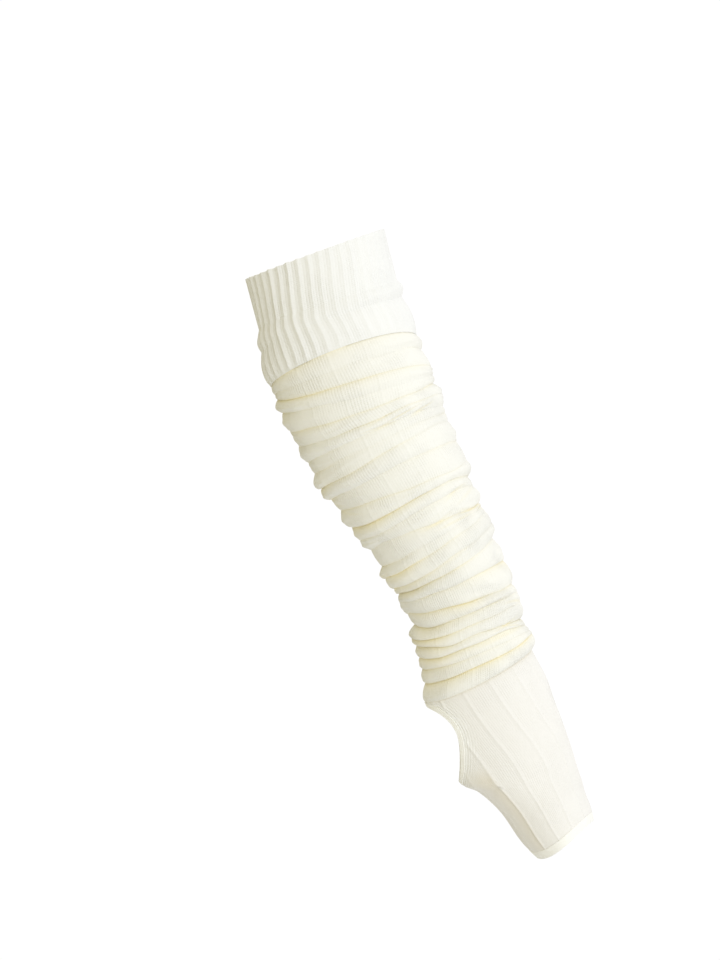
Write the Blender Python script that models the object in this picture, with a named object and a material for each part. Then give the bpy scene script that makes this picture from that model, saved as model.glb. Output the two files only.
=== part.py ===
"""A knitted stirrup leg warmer, pushed down into soft gathers the way it is worn.

The garment is one hollow tube of cloth: a ribbed cuff at the top, a long gathered leg, a smooth
close-fitting foot with an opening at the heel, a narrow band around that opening and a plain hem
at the toes. It is open at both ends and at the heel. The cloth stands in its worn form by itself.

Frame: the origin is the middle of the cuff's mouth, +X is the front, +Z is up, and the garment's
two flat sides face -Y and +Y. The leg leans forward as it goes down. Sizes are in millimetres
until the meshes are made, in metres.

Every tube is a stack of closed rings. A ring joins a point at the back to a point at the front and
bows out to both sides, and the tables below give the rings from the cuff's mouth to the toes.
"""

from collections import namedtuple

import bpy
import numpy as np

MM = 0.001

# Cloth and seams
WALL = 2.0
SEAM_GAP = 0.3

# Ribs of the cuff: a plain inside, the ribs raised on the outside
CUFF_RIBS = 41
CUFF_RIB_HEIGHT = 1.0

# Leg: points around. The stations are the rings between one crease and the next, as the share of
# the way and the share of the roll's height there.
LEG_POINTS = 30
ROLL_STATIONS = ((0.0, 0.0), (0.30, 0.80), (0.66, 1.0))

# Foot: narrow raised ribs run down it, and the sole side is the broad one
FOOT_RIBS = 13
FOOT_RIB_START = -100.4
FOOT_RIB_HEIGHT = 0.6
FOOT_RIB_DEGREES = 7.0
FOOT_COLUMNS = 60
FOOT_STEPS = 12
SOLE_BROADENING = 0.12

# Heel opening, in rows of the foot table (down) and degrees from the back (across)
HEEL_TOP_ROW = 0.36
HEEL_BOTTOM_ROW = 3.80
HEEL_SPREAD = 43.0
HEEL_LEAN = 0.40
HEEL_FULLNESS = 0.85
HEEL_MIDDLE_ROW = (HEEL_TOP_ROW + HEEL_BOTTOM_ROW) / 2.0
HEEL_HALF_ROWS = (HEEL_BOTTOM_ROW - HEEL_TOP_ROW) / 2.0

# The part of the foot's mesh that is laid out around the opening: steps down, columns across
PATCH_STEPS = 7
PATCH_COLUMNS = 24
PATCH_LAYERS = 3

# Band around the heel opening and hem at the toes, both a little prouder than the cloth
BAND_WIDTH = 4.5
BAND_POINTS = 56
BAND_CHAMFER = 0.6
BAND_PROUD = 0.5
HEM_POINTS = 40
HEM_PROUD = 0.4
HEM_STATIONS = ((0.0, 0.0), (0.15, 1.0), (0.85, 1.0), (1.0, 0.2))

# A ring of the cuff or the leg. The roll values say how far the cloth below it swells, at the
# back, at the near side and at the front, before it comes in again at the next ring.
Ring = namedtuple("Ring", "back_x back_z front_x front_z sag skew roll_back roll_near roll_front")

CUFF = (
    Ring(-53.7, -19.9, 53.4, 19.5, 0.0, 0.0, 0.0, 0.0, 0.0),
    Ring(-42.5, -60.8, 63.8, -21.1, -3.0, -2.0, 3.2, 1.2, 3.4),
    Ring(-40.8, -77.2, 67.5, -34.3, -5.0, -1.0, 2.8, 1.6, 2.2),
    Ring(-34.3, -103.8, 78.8, -63.8, -10.0, 0.5, 0.0, 0.0, 0.0),
)

LEG = (
    Ring(-34.3, -103.8, 78.8, -63.8, -10.0, 0.5, 0.8, 3.0, 3.4),
    Ring(-31.4, -109.2, 82.5, -74.9, -4.0, 1.5, 0.8, 1.6, 1.2),
    Ring(-29.1, -113.1, 90.3, -87.4, 0.0, 2.5, 4.8, 2.6, 0.8),
    Ring(-25.2, -123.2, 91.5, -94.4, 3.0, 1.0, 4.0, 2.0, 1.6),
    Ring(-19.7, -138.1, 91.1, -99.8, 5.0, 0.0, 0.8, 1.8, 2.0),
    Ring(-12.7, -149.8, 98.9, -108.4, 2.0, 1.5, 3.0, 2.4, 1.0),
    Ring(-5.7, -162.2, 99.6, -119.3, -3.0, 1.5, 0.8, 1.8, 0.8),
    Ring(-0.6, -170.8, 101.2, -124.0, -1.0, 0.5, 4.0, 1.6, 0.8),
    Ring(4.5, -182.5, 102.8, -129.5, 0.0, 0.5, 4.0, 3.0, 2.5),
    Ring(12.3, -191.1, 109.8, -145.9, -1.5, 1.0, 0.8, 2.2, 0.8),
    Ring(20.1, -199.7, 117.6, -159.9, 4.5, -1.0, 4.3, 2.8, 3.3),
    Ring(28.7, -211.4, 118.8, -173.9, 0.5, 3.0, 2.3, 2.0, 0.8),
    Ring(34.9, -223.1, 123.0, -181.0, -0.5, 2.0, 2.6, 2.4, 3.2),
    Ring(43.5, -230.9, 126.9, -194.2, 0.0, -1.5, 0.8, 2.0, 0.8),
    Ring(52.1, -243.4, 129.3, -197.0, 3.0, 0.0, 4.0, 2.0, 0.6),
    Ring(53.6, -251.2, 132.4, -200.5, 5.0, 0.5, 2.4, 2.6, 0.8),
    Ring(61.4, -260.5, 137.1, -209.0, 5.5, 0.0, 1.8, 1.8, 3.0),
    Ring(65.3, -263.6, 137.1, -220.7, 6.5, -0.5, 1.4, 3.0, 2.8),
    Ring(65.7, -271.4, 146.4, -239.4, 3.0, 1.5, 1.6, 3.3, 2.8),
    Ring(71.6, -279.6, 152.7, -256.6, 4.5, 0.0, 0.8, 2.8, 1.0),
    Ring(77.8, -288.6, 157.4, -263.6, 4.5, 2.0, 3.8, 2.4, 0.8),
    Ring(75.5, -297.2, 159.7, -270.7, 6.5, 2.0, 2.2, 2.6, 2.2),
    Ring(79.4, -304.2, 159.7, -283.9, 4.5, 1.5, 2.7, 2.8, 0.8),
    Ring(81.7, -313.6, 163.6, -289.4, 2.5, 2.5, 2.6, 2.4, 0.8),
    Ring(84.0, -322.9, 166.7, -293.3, 3.5, 1.0, 2.7, 2.4, 0.8),
    Ring(86.4, -333.8, 169.1, -296.4, 4.5, 0.5, 2.0, 3.2, 2.9),
    Ring(84.8, -347.9, 168.3, -307.3, 7.0, 0.5, 0.0, 0.0, 0.0),
)

# How far the cuff and the leg reach to each side, by the height of the ring's middle
SIDE_HEIGHTS = (0.0, -80.0, -150.0, -205.0, -260.0, -335.0)
SIDE_REACHES = (52.5, 54.5, 52.0, 45.5, 40.0, 37.0)

FootRing = namedtuple("FootRing", "back_x back_z front_x front_z side_reach sag skew")

# The foot's rings from the leg to the hem; the last row is the hem's free edge
FOOT = (
    FootRing(84.8, -347.9, 168.3, -307.3, 37.0, 7.0, 0.5),
    FootRing(92.6, -365.0, 180.0, -330.7, 36.5, 6.0, 0.5),
    FootRing(100.4, -382.2, 187.0, -349.4, 36.0, 5.5, 0.5),
    FootRing(106.9, -399.4, 194.8, -369.7, 35.5, 5.0, 0.5),
    FootRing(113.7, -413.0, 200.7, -388.4, 35.5, 4.5, 0.5),
    FootRing(127.7, -419.3, 205.4, -403.5, 36.8, 4.0, 1.0),
    FootRing(144.1, -434.5, 209.6, -415.5, 38.6, 3.5, 1.5),
    FootRing(158.2, -454.4, 213.6, -427.8, 40.4, 3.0, 2.0),
    FootRing(166.7, -464.5, 215.9, -435.2, 41.5, 2.8, 2.2),
    FootRing(172.2, -469.9, 217.1, -441.9, 42.0, 2.8, 2.2),
)
HEM_ROW = len(FOOT) - 2

CLOTH = (0.93, 0.91, 0.82)
CUFF_CLOTH = (0.92, 0.90, 0.80)
FOOT_CLOTH = (0.94, 0.93, 0.86)
BAND_CLOTH = (0.90, 0.87, 0.76)
HEM_CLOTH = (0.95, 0.94, 0.88)


def clear_scene():
    for obj in list(bpy.data.objects):
        bpy.data.objects.remove(obj, do_unlink=True)


def make_material(name, colour):
    """Soft matt knitted cloth."""
    material = bpy.data.materials.new(name)
    material.use_nodes = True
    shader = material.node_tree.nodes["Principled BSDF"]
    shader.inputs["Base Color"].default_value = (*colour, 1.0)
    shader.inputs["Roughness"].default_value = 0.9
    shader.inputs["Metallic"].default_value = 0.0
    material.diffuse_color = (*colour, 1.0)
    return material


def rows_at(table, place):
    """The table's columns at a place along it, where whole numbers are rows: a smooth curve through them."""
    columns = np.array(table, float)
    place = np.asarray(place, float)
    last = len(columns) - 1
    first = np.clip(np.floor(place).astype(int), 0, last - 1)
    share = (place - first)[..., None]
    before = columns[np.maximum(first - 1, 0)]
    start = columns[first]
    end = columns[first + 1]
    after = columns[np.minimum(first + 2, last)]
    slope_in = (end - before) / 2.0
    slope_out = (after - start) / 2.0
    change = end - start
    return (
        start
        + slope_in * share
        + (3.0 * change - 2.0 * slope_in - slope_out) * share**2
        + (slope_in + slope_out - 2.0 * change) * share**3
    )


def ring_points(angle, back, front, reach, sag, skew, out, along=0.0):
    """Points of rings: the angle is 0 at the front, a quarter turn at +Y and half a turn at the back.

    out moves a point square to the ring's outline, and along moves it down the tube.
    """
    middle = (back + front) / 2.0
    half = (front - back) / 2.0
    length = np.hypot(half[..., 0], half[..., 1])
    forward = half / length[..., None]
    down = np.stack([forward[..., 1], -forward[..., 0]], axis=-1)
    cos, sin = np.cos(angle), np.sin(angle)
    steep = np.hypot(cos * reach, sin * length)
    out_forward = out * cos * reach / steep
    out_side = out * sin * length / steep
    dip = sag * np.abs(sin) - skew * np.abs(sin) * 2.0 * cos + along
    planar = middle + forward * (length * cos + out_forward)[..., None] + down * dip[..., None]
    return np.stack([planar[..., 0], reach * sin + out_side, planar[..., 1]], axis=-1)


def around(back, near, front, far, angle):
    """A size that changes round the ring from its value at the back, both sides and the front."""
    cos, sin = np.cos(angle), np.sin(angle)
    side = np.where(sin < 0.0, near, far) * sin**2
    end = np.where(cos < 0.0, back, front) * cos**2
    return side + end


def far_side(table):
    """The rows as the far side takes them: the near side's values from the row below, so alike and uneven.

    The first and the last row, which meet the neighbouring tubes, keep their own.
    """
    return table[:1] + table[2:] + table[-1:]


def gathered_tube(table, count, rib):
    """Outer and inner points of a cuff or leg tube, as rings of count points, clear of its seams.

    Each row of the table gives a ring, and the stations give those between it and the next.
    """
    angle = np.arange(count) * 2.0 * np.pi / count
    near = np.sin(angle) < 0.0
    far = far_side(table)
    places = [(row, *station) for row in range(len(table) - 1) for station in ROLL_STATIONS]
    places.append((len(table) - 2, 1.0, 0.0))
    outer, inner = [], []
    for number, (row, share, height) in enumerate(places):
        here, there = np.array(table[row]), np.array(table[row + 1])
        ring = Ring(*(here + (there - here) * share))
        beyond_here, beyond_there = np.array(far[row]), np.array(far[row + 1])
        beyond = Ring(*(beyond_here + (beyond_there - beyond_here) * share))
        roll = height * around(
            table[row].roll_back, table[row].roll_near, table[row].roll_front, far[row].roll_near, angle
        )
        middle_height = (ring.back_z + ring.front_z) / 2.0
        reach = np.interp(-middle_height, -np.array(SIDE_HEIGHTS), SIDE_REACHES)
        end = (number == 0) - (number == len(places) - 1)
        shape = (
            np.array([ring.back_x, ring.back_z]), np.array([ring.front_x, ring.front_z]), reach,
            np.where(near, ring.sag, beyond.sag), np.where(near, ring.skew, beyond.skew),
        )
        outer.append(ring_points(angle, *shape, roll + rib, end * SEAM_GAP / 2.0))
        inner.append(ring_points(angle, *shape, roll - WALL, end * SEAM_GAP / 2.0))
    return np.array(outer), np.array(inner)


def foot_points(place, angle, out, along=0.0):
    """Points of the foot, by place in its table and angle round it, with the sole side broader."""
    ring = FootRing(*np.moveaxis(rows_at(FOOT, place), -1, 0))
    back = np.stack([ring.back_x, ring.back_z], axis=-1)
    front = np.stack([ring.front_x, ring.front_z], axis=-1)
    broad = 1.0 - SOLE_BROADENING * np.cos(angle) * np.asarray(place) / (len(FOOT) - 1)
    return ring_points(angle, back, front, ring.side_reach * broad, ring.sag, ring.skew, out, along)


def heel_loop(turn):
    """The opening's outline, as places in the foot table and angles: a turn of 0 is its top."""
    leaned = turn + HEEL_LEAN * np.sin(turn)
    across = np.sign(np.sin(leaned)) * np.abs(np.sin(leaned)) ** HEEL_FULLNESS
    return HEEL_MIDDLE_ROW - HEEL_HALF_ROWS * np.cos(turn), np.pi + np.radians(HEEL_SPREAD) * across


def off_heel_loop(turn, distance):
    """Places and angles of the opening's outline moved off the opening by a distance along the cloth."""
    step = 0.001
    place, angle = heel_loop(turn)
    by_place = foot_points(place + step, angle, 0.0) - foot_points(place - step, angle, 0.0)
    by_angle = foot_points(place, angle + step, 0.0) - foot_points(place, angle - step, 0.0)
    run = foot_points(*heel_loop(turn + step), 0.0) - foot_points(*heel_loop(turn - step), 0.0)
    way = np.cross(np.cross(by_place, by_angle), run)
    way *= distance / np.linalg.norm(way, axis=-1, keepdims=True)
    # The two unknowns are how far to go in place and in angle, from a small linear system.
    pp = (by_place * by_place).sum(axis=-1)
    pa = (by_place * by_angle).sum(axis=-1)
    aa = (by_angle * by_angle).sum(axis=-1)
    wp = (way * by_place).sum(axis=-1)
    wa = (way * by_angle).sum(axis=-1)
    scale = 2.0 * step / (pp * aa - pa * pa)
    return place + (wp * aa - wa * pa) * scale, angle + (wa * pp - wp * pa) * scale


def grid_faces(rings, count):
    """Quads between neighbouring rings of count points, closed round."""
    ring, point = np.meshgrid(np.arange(rings - 1), np.arange(count), indexing="ij")
    following = (point + 1) % count
    corners = [ring * count + point, (ring + 1) * count + point,
               (ring + 1) * count + following, ring * count + following]
    return np.stack(corners, axis=-1).reshape(-1, 4)


def cloth_wall(name, outer, inner, quads, material, collection):
    """A closed wall from an outer and an inner surface with the same quads, joined along every free edge."""
    count = len(outer)
    edges = np.concatenate([quads[:, [0, 1]], quads[:, [1, 2]], quads[:, [2, 3]], quads[:, [3, 0]]])
    keys = set(map(tuple, edges.tolist()))
    rim = [(b, a, a + count, b + count) for a, b in edges.tolist() if (b, a) not in keys]
    inside = quads[:, ::-1] + count
    faces = quads.tolist() + inside.tolist() + rim
    return make_object(name, np.vstack([outer, inner]), faces, material, collection)


def make_object(name, points, faces, material, collection):
    mesh = bpy.data.meshes.new(name)
    mesh.from_pydata((np.asarray(points) * MM).tolist(), [], faces)
    mesh.update()
    mesh.shade_smooth()
    mesh.set_sharp_from_angle(angle=np.radians(50.0))
    mesh.materials.append(material)
    obj = bpy.data.objects.new(name, mesh)
    collection.objects.link(obj)
    return obj


def make_cuff(collection):
    """The ribbed cuff: every second point round it is the top of a rib."""
    count = 2 * CUFF_RIBS
    rib = CUFF_RIB_HEIGHT * (np.arange(count) % 2)
    outer, inner = gathered_tube(CUFF, count, rib)
    cloth_wall("top_cuff", outer.reshape(-1, 3), inner.reshape(-1, 3), grid_faces(len(outer), count),
               make_material("cuff_rib_knit", CUFF_CLOTH), collection)


def make_leg(collection):
    """The gathered leg, one roll of cloth under each crease."""
    outer, inner = gathered_tube(LEG, LEG_POINTS, 0.0)
    cloth_wall("leg_tube", outer.reshape(-1, 3), inner.reshape(-1, 3), grid_faces(len(outer), LEG_POINTS),
               make_material("leg_knit", CLOTH), collection)


def foot_rib(angle):
    """Height of the raised ribs at an angle: flat topped, with sloping sides."""
    pitch = 360.0 / FOOT_RIBS
    turned = (np.degrees(angle) - FOOT_RIB_START) / pitch
    from_rib = np.abs(turned - np.round(turned)) * pitch
    return FOOT_RIB_HEIGHT * np.clip(2.0 * (1.0 - from_rib / FOOT_RIB_DEGREES), 0.0, 1.0)


def foot_layout():
    """The foot's mesh before it is put round: places, angles and quads, with a hole for the heel.

    Most of it is a plain grid. Around the opening, layers run from the grid's cut-out to the rim.
    """
    count = FOOT_COLUMNS
    step, column = np.meshgrid(np.arange(FOOT_STEPS + 1), np.arange(count), indexing="ij")
    place = step.ravel() * HEM_ROW / FOOT_STEPS
    angle = column.ravel() * 2.0 * np.pi / count
    first = (count - PATCH_COLUMNS) // 2
    last = first + PATCH_COLUMNS
    quads = grid_faces(FOOT_STEPS + 1, count)
    quad_step, quad_column = quads[:, 0] // count, quads[:, 0] % count
    in_patch = (quad_step < PATCH_STEPS) & (quad_column >= first) & (quad_column < last)
    middle = count // 2
    edge = [(0, c) for c in range(middle, last)]
    edge += [(s, last) for s in range(PATCH_STEPS)]
    edge += [(PATCH_STEPS, c) for c in range(last, first, -1)]
    edge += [(s, first) for s in range(PATCH_STEPS, 0, -1)]
    edge += [(0, c) for c in range(first, middle)]
    edge = np.array(edge)
    edge_index = edge[:, 0] * count + edge[:, 1]
    edge_place, edge_angle = place[edge_index], angle[edge_index]
    across = (edge_angle - np.pi) / np.radians(HEEL_SPREAD)
    turn = np.arctan2(across, (HEEL_MIDDLE_ROW - edge_place) / HEEL_HALF_ROWS)
    rim_place, rim_angle = off_heel_loop(turn, BAND_WIDTH + SEAM_GAP)
    places, angles, faces = [place], [angle], [quads[~in_patch]]
    outside = edge_index
    for layer in range(1, PATCH_LAYERS + 1):
        share = layer / PATCH_LAYERS
        inside = len(place) + (layer - 1) * len(edge) + np.arange(len(edge))
        places.append(edge_place * (1.0 - share) + rim_place * share)
        angles.append(edge_angle * (1.0 - share) + rim_angle * share)
        corners = [np.roll(outside, -1), outside, inside, np.roll(inside, -1)]
        faces.append(np.stack(corners, axis=-1))
        outside = inside
    used, quads = np.unique(np.concatenate(faces), return_inverse=True)
    return np.concatenate(places)[used], np.concatenate(angles)[used], quads.reshape(-1, 4)


def make_foot(collection):
    """The foot tube, ribs on its outside, open at the heel."""
    place, angle, quads = foot_layout()
    end = (place == 0.0) * 1.0 - (place == HEM_ROW)
    shift = end * SEAM_GAP / 2.0
    outer = foot_points(place, angle, foot_rib(angle), shift)
    inner = foot_points(place, angle, -WALL, shift)
    cloth_wall("foot_tube", outer, inner, quads, make_material("foot_knit", FOOT_CLOTH), collection)


def make_band(collection):
    """The narrow band round the heel opening, from its rim to the foot's cloth."""
    low, high = -WALL, BAND_PROUD
    section = (
        (BAND_CHAMFER, high), (BAND_WIDTH - BAND_CHAMFER, high),
        (BAND_WIDTH, high - BAND_CHAMFER), (BAND_WIDTH, low + BAND_CHAMFER),
        (BAND_WIDTH - BAND_CHAMFER, low), (BAND_CHAMFER, low),
        (0.0, low + BAND_CHAMFER), (0.0, high - BAND_CHAMFER),
    )
    turn = np.arange(BAND_POINTS) * 2.0 * np.pi / BAND_POINTS
    rings = [foot_points(*off_heel_loop(turn, across), out) for across, out in section]
    points = np.array(rings).reshape(-1, 3)
    strip = np.arange(len(section))
    quads = []
    for start, end in zip(strip, np.roll(strip, -1)):
        here = start * BAND_POINTS + np.arange(BAND_POINTS)
        there = end * BAND_POINTS + np.arange(BAND_POINTS)
        quads.append(np.stack([here, np.roll(here, -1), np.roll(there, -1), there], axis=-1))
    make_object("heel_band", points, np.concatenate(quads).tolist(),
                make_material("band_knit", BAND_CLOTH), collection)


def make_hem(collection):
    """The plain hem at the toes, a turned double edge."""
    angle = np.arange(HEM_POINTS) * 2.0 * np.pi / HEM_POINTS
    outer, inner = [], []
    for share, height in HEM_STATIONS:
        shift = SEAM_GAP / 2.0 * (share == 0.0)
        outer.append(foot_points(HEM_ROW + share, angle, HEM_PROUD * height, shift))
        inner.append(foot_points(HEM_ROW + share, angle, -WALL, shift))
    cloth_wall("toe_hem", np.concatenate(outer), np.concatenate(inner), grid_faces(len(outer), HEM_POINTS),
               make_material("hem_knit", HEM_CLOTH), collection)


def main():
    clear_scene()
    collection = bpy.data.collections.new("stirrup_leg_warmer")
    bpy.context.scene.collection.children.link(collection)
    make_cuff(collection)
    make_leg(collection)
    make_foot(collection)
    make_band(collection)
    make_hem(collection)


main()
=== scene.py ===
# %% [markdown]
# A knitted stirrup leg warmer, finished as cloth.
# The real thing is one long knitted tube: a ribbed cuff holds it up, the leg is far longer than it
# needs to be and so it slides down into gathers, the foot is smooth and close, and a hole lets the
# heel out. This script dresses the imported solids: it works every cloth surface out again with
# numpy, much finer, from tables of the same creases, and gives each its knitted finish.

import bpy
import numpy as np
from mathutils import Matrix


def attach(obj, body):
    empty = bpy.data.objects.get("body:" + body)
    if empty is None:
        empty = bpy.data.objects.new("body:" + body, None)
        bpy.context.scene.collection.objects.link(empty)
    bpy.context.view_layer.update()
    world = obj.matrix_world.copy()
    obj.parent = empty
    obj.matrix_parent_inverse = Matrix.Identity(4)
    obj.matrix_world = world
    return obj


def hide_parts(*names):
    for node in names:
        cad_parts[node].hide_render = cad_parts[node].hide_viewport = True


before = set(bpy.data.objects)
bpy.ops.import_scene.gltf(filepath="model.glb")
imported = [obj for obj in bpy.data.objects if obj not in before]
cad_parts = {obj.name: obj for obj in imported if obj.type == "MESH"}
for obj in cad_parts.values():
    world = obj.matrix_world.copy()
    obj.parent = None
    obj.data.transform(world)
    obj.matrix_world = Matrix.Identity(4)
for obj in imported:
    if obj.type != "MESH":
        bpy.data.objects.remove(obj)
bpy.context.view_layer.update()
MM = 0.001

# %% [markdown]
# Every tube of this garment is a stack of closed rings, and a ring is known from very little: a
# point at the back, a point at the front, how far it bows to the sides, and how far its near side
# dips. One row of the table is one crease of the gathered cloth. The last values say how far the
# roll of cloth below that crease swells, at five places from the back round the near side to the
# front. The far side isn't seen in the photograph, so it borrows the values of the row below, which
# keeps it alike but uneven.

# %% The creases of the cuff and the leg, in millimetres
CUFF = np.array([
    # back_x back_z  front_x front_z  sag skew  roll: back, back side, side, front side, front
    (-53.7, -19.9, 53.4, 19.5, 0.0, 0.0, 0.0, 0.0, 0.0, 0.0, 0.0),
    (-42.5, -60.8, 63.8, -21.1, -3.0, -2.0, 3.2, 0.8, 0.6, 2.0, 3.4),
    (-40.8, -77.2, 67.5, -34.3, -5.0, -1.0, 2.8, 1.2, 1.0, 1.6, 2.4),
    (-34.3, -103.8, 78.8, -63.8, -10.0, 0.5, 0.0, 0.0, 0.0, 0.0, 0.0),
])
LEG = np.array([
    (-34.3, -103.8, 78.8, -63.8, -10.0, 0.5, 0.8, 1.2, 1.4, 2.4, 3.4),
    (-31.4, -109.2, 82.5, -74.9, -4.0, 1.5, 0.8, 1.0, 1.4, 1.6, 1.2),
    (-29.1, -113.1, 90.3, -87.4, 0.0, 2.5, 4.8, 2.6, 2.2, 1.4, 0.8),
    (-25.2, -123.2, 91.5, -94.4, 3.0, 1.0, 4.0, 1.8, 0.9, 0.9, 1.6),
    (-19.7, -138.1, 91.1, -99.8, 5.0, 0.0, 0.8, 1.6, 1.6, 1.4, 2.0),
    (-12.7, -149.8, 98.9, -108.4, 2.0, 1.5, 3.0, 2.6, 2.0, 1.0, 1.0),
    (-5.7, -162.2, 99.6, -119.3, -3.0, 1.5, 0.8, 0.6, 0.8, 1.0, 0.8),
    (-0.6, -170.8, 101.2, -124.0, -1.0, 0.5, 4.0, 1.6, 0.8, 0.6, 0.8),
    (4.5, -182.5, 102.8, -129.5, 0.0, 0.5, 4.0, 3.4, 2.8, 1.0, 2.5),
    (12.3, -191.1, 109.8, -145.9, -1.5, 1.0, 0.8, 1.4, 1.4, 1.8, 0.8),
    (20.1, -199.7, 117.6, -159.9, 4.5, -1.0, 4.3, 2.6, 2.0, 1.6, 3.3),
    (28.7, -211.4, 118.8, -173.9, 0.5, 3.0, 2.3, 3.2, 2.8, 2.6, 0.8),
    (34.9, -223.1, 123.0, -181.0, -0.5, 2.0, 2.6, 1.2, 1.4, 1.8, 3.2),
    (43.5, -230.9, 126.9, -194.2, 0.0, -1.5, 0.8, 1.4, 1.8, 1.6, 0.8),
    (52.1, -243.4, 129.3, -197.0, 3.0, 0.0, 4.0, 1.8, 0.8, 0.6, 0.6),
    (53.6, -251.2, 132.4, -200.5, 5.0, 0.5, 2.4, 2.6, 2.4, 1.6, 0.8),
    (61.4, -260.5, 137.1, -209.0, 5.5, 0.0, 1.8, 1.8, 1.2, 0.8, 3.0),
    (65.3, -263.6, 137.1, -220.7, 6.5, -0.5, 1.4, 3.0, 3.0, 2.4, 2.8),
    (65.7, -271.4, 146.4, -239.4, 3.0, 1.5, 1.6, 1.6, 1.8, 2.2, 2.8),
    (71.6, -279.6, 152.7, -256.6, 4.5, 0.0, 0.8, 3.0, 3.4, 2.8, 1.0),
    (77.8, -288.6, 157.4, -263.6, 4.5, 2.0, 3.8, 3.0, 1.4, 0.8, 0.8),
    (75.5, -297.2, 159.7, -270.7, 6.5, 2.0, 2.2, 2.8, 2.0, 1.8, 2.2),
    (79.4, -304.2, 159.7, -283.9, 4.5, 1.5, 2.7, 3.0, 2.6, 2.2, 0.8),
    (81.7, -313.6, 163.6, -289.4, 2.5, 2.5, 2.6, 2.8, 1.6, 0.8, 0.8),
    (84.0, -322.9, 166.7, -293.3, 3.5, 1.0, 2.7, 1.8, 1.2, 1.0, 0.8),
    (86.4, -333.8, 169.1, -296.4, 4.5, 0.5, 2.0, 3.2, 3.4, 3.0, 2.9),
    (84.8, -347.9, 168.3, -307.3, 7.0, 0.5, 0.0, 0.0, 0.0, 0.0, 0.0),
])
SIDE_HEIGHTS = np.array([0.0, -80.0, -150.0, -205.0, -260.0, -335.0])
SIDE_REACHES = np.array([52.5, 54.5, 52.0, 45.5, 40.0, 37.0])
print("creases:", len(LEG), "on the leg")

# %% [markdown]
# Some creases are cut deep and some are hardly there, and one crease changes on its way round. So
# each has five depths, from 0 for none to 1 for a sharp fold, at the same five places. The first
# row is the line under the cuff's edge, and the last one is the seam with the foot.

# %% How deep the creases of the leg are
CREASE_DEPTHS = np.array([
    # back, back side, side, front side, front
    (0.7, 0.7, 0.6, 0.4, 0.3),
    (0.3, 0.2, 0.1, 0.1, 0.1),
    (0.9, 0.9, 0.6, 0.4, 0.3),
    (0.5, 0.2, 0.1, 0.0, 0.1),
    (0.4, 0.6, 0.5, 0.4, 0.3),
    (0.3, 0.2, 0.5, 0.4, 0.1),
    (0.3, 0.2, 0.1, 0.0, 0.1),
    (0.3, 0.3, 0.1, 0.2, 0.3),
    (0.8, 0.5, 0.4, 0.2, 0.1),
    (0.7, 0.2, 0.2, 0.3, 0.3),
    (0.6, 0.5, 0.4, 0.3, 0.1),
    (0.9, 1.0, 0.7, 0.3, 0.3),
    (0.3, 0.3, 0.2, 0.3, 0.1),
    (0.3, 0.2, 0.4, 0.4, 0.4),
    (0.6, 0.3, 0.1, 0.1, 0.2),
    (0.7, 1.0, 0.4, 0.2, 0.1),
    (0.7, 0.6, 0.4, 0.2, 0.2),
    (0.8, 0.9, 0.6, 0.3, 0.2),
    (0.3, 0.2, 0.4, 0.6, 0.8),
    (0.5, 0.7, 1.0, 0.4, 0.4),
    (0.6, 0.8, 0.5, 0.3, 0.2),
    (1.0, 1.0, 0.5, 0.3, 0.2),
    (0.9, 0.8, 0.4, 0.4, 0.6),
    (0.9, 0.9, 0.6, 0.5, 0.3),
    (0.8, 0.6, 0.3, 0.2, 0.2),
    (0.9, 1.0, 1.0, 0.8, 0.6),
    (0.5, 0.5, 0.6, 0.5, 0.4),
])

# %% The rings of the foot, in millimetres
FOOT = np.array([
    # back_x back_z  front_x front_z  side reach, sag, skew, degrees that the ribs lean to the front
    (84.8, -347.9, 168.3, -307.3, 37.0, 7.0, 0.5, -11.0),
    (92.6, -365.0, 180.0, -330.7, 36.5, 6.0, 0.5, -7.0),
    (100.4, -382.2, 187.0, -349.4, 36.0, 5.5, 0.5, -1.0),
    (106.9, -399.4, 194.8, -369.7, 35.5, 5.0, 0.5, 7.0),
    (113.7, -413.0, 200.7, -388.4, 35.5, 4.5, 0.5, 11.5),
    (127.7, -419.3, 205.4, -403.5, 36.8, 4.0, 1.0, 7.5),
    (144.1, -434.5, 209.6, -415.5, 38.6, 3.5, 1.5, 4.0),
    (158.2, -454.4, 213.6, -427.8, 40.4, 3.0, 2.0, 2.0),
    (166.7, -464.5, 215.9, -435.2, 41.5, 2.8, 2.2, 1.0),
    (172.2, -469.9, 217.1, -441.9, 42.0, 2.8, 2.2, 1.0),
])
HEM_ROW = len(FOOT) - 2
SOLE_BROADENING = 0.12
SEAM_GAP = 0.02
CLOTH_THICKNESS = 1.5

# %% [markdown]
# A ring is worked out in the slanting plane through its back and front points. There it is an
# ellipse: half as long as the way from back to front, and as wide as the leg is from side to side.
# A point is then pushed off the ellipse in two ways, outwards for the swell of a roll and down the
# tube for the droop of its lip. Whole stacks of rings go through this at once, as numpy arrays
# with one row a ring and one column a place around it.

# %% One ring, or a stack of them
def ring_points(angle, back, front, reach, sag, skew, out, along=0.0):
    """Points on rings.

    With forward the unit vector from back to front, half the distance between them and down the
    vector square to it, a point is the middle + forward * half * cos(angle), reach * sin(angle)
    sideways, and down * (sag * |sin| - skew * 2 * |sin| * cos + along). out moves it square to
    the ellipse.
    """
    middle = (back + front) / 2.0
    half = (front - back) / 2.0
    length = np.hypot(half[..., 0], half[..., 1])
    forward = half / length[..., None]
    down = np.stack([forward[..., 1], -forward[..., 0]], axis=-1)
    cos, sin = np.cos(angle), np.sin(angle)
    steep = np.hypot(cos * reach, sin * length)
    out_forward = out * cos * reach / steep
    out_side = out * sin * length / steep
    dip = (sag - skew * 2.0 * cos) * np.abs(sin) + along
    planar = middle + forward * (length * cos + out_forward)[..., None] + down * dip[..., None]
    return np.stack([planar[..., 0], reach * sin + out_side, planar[..., 1]], axis=-1)


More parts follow.
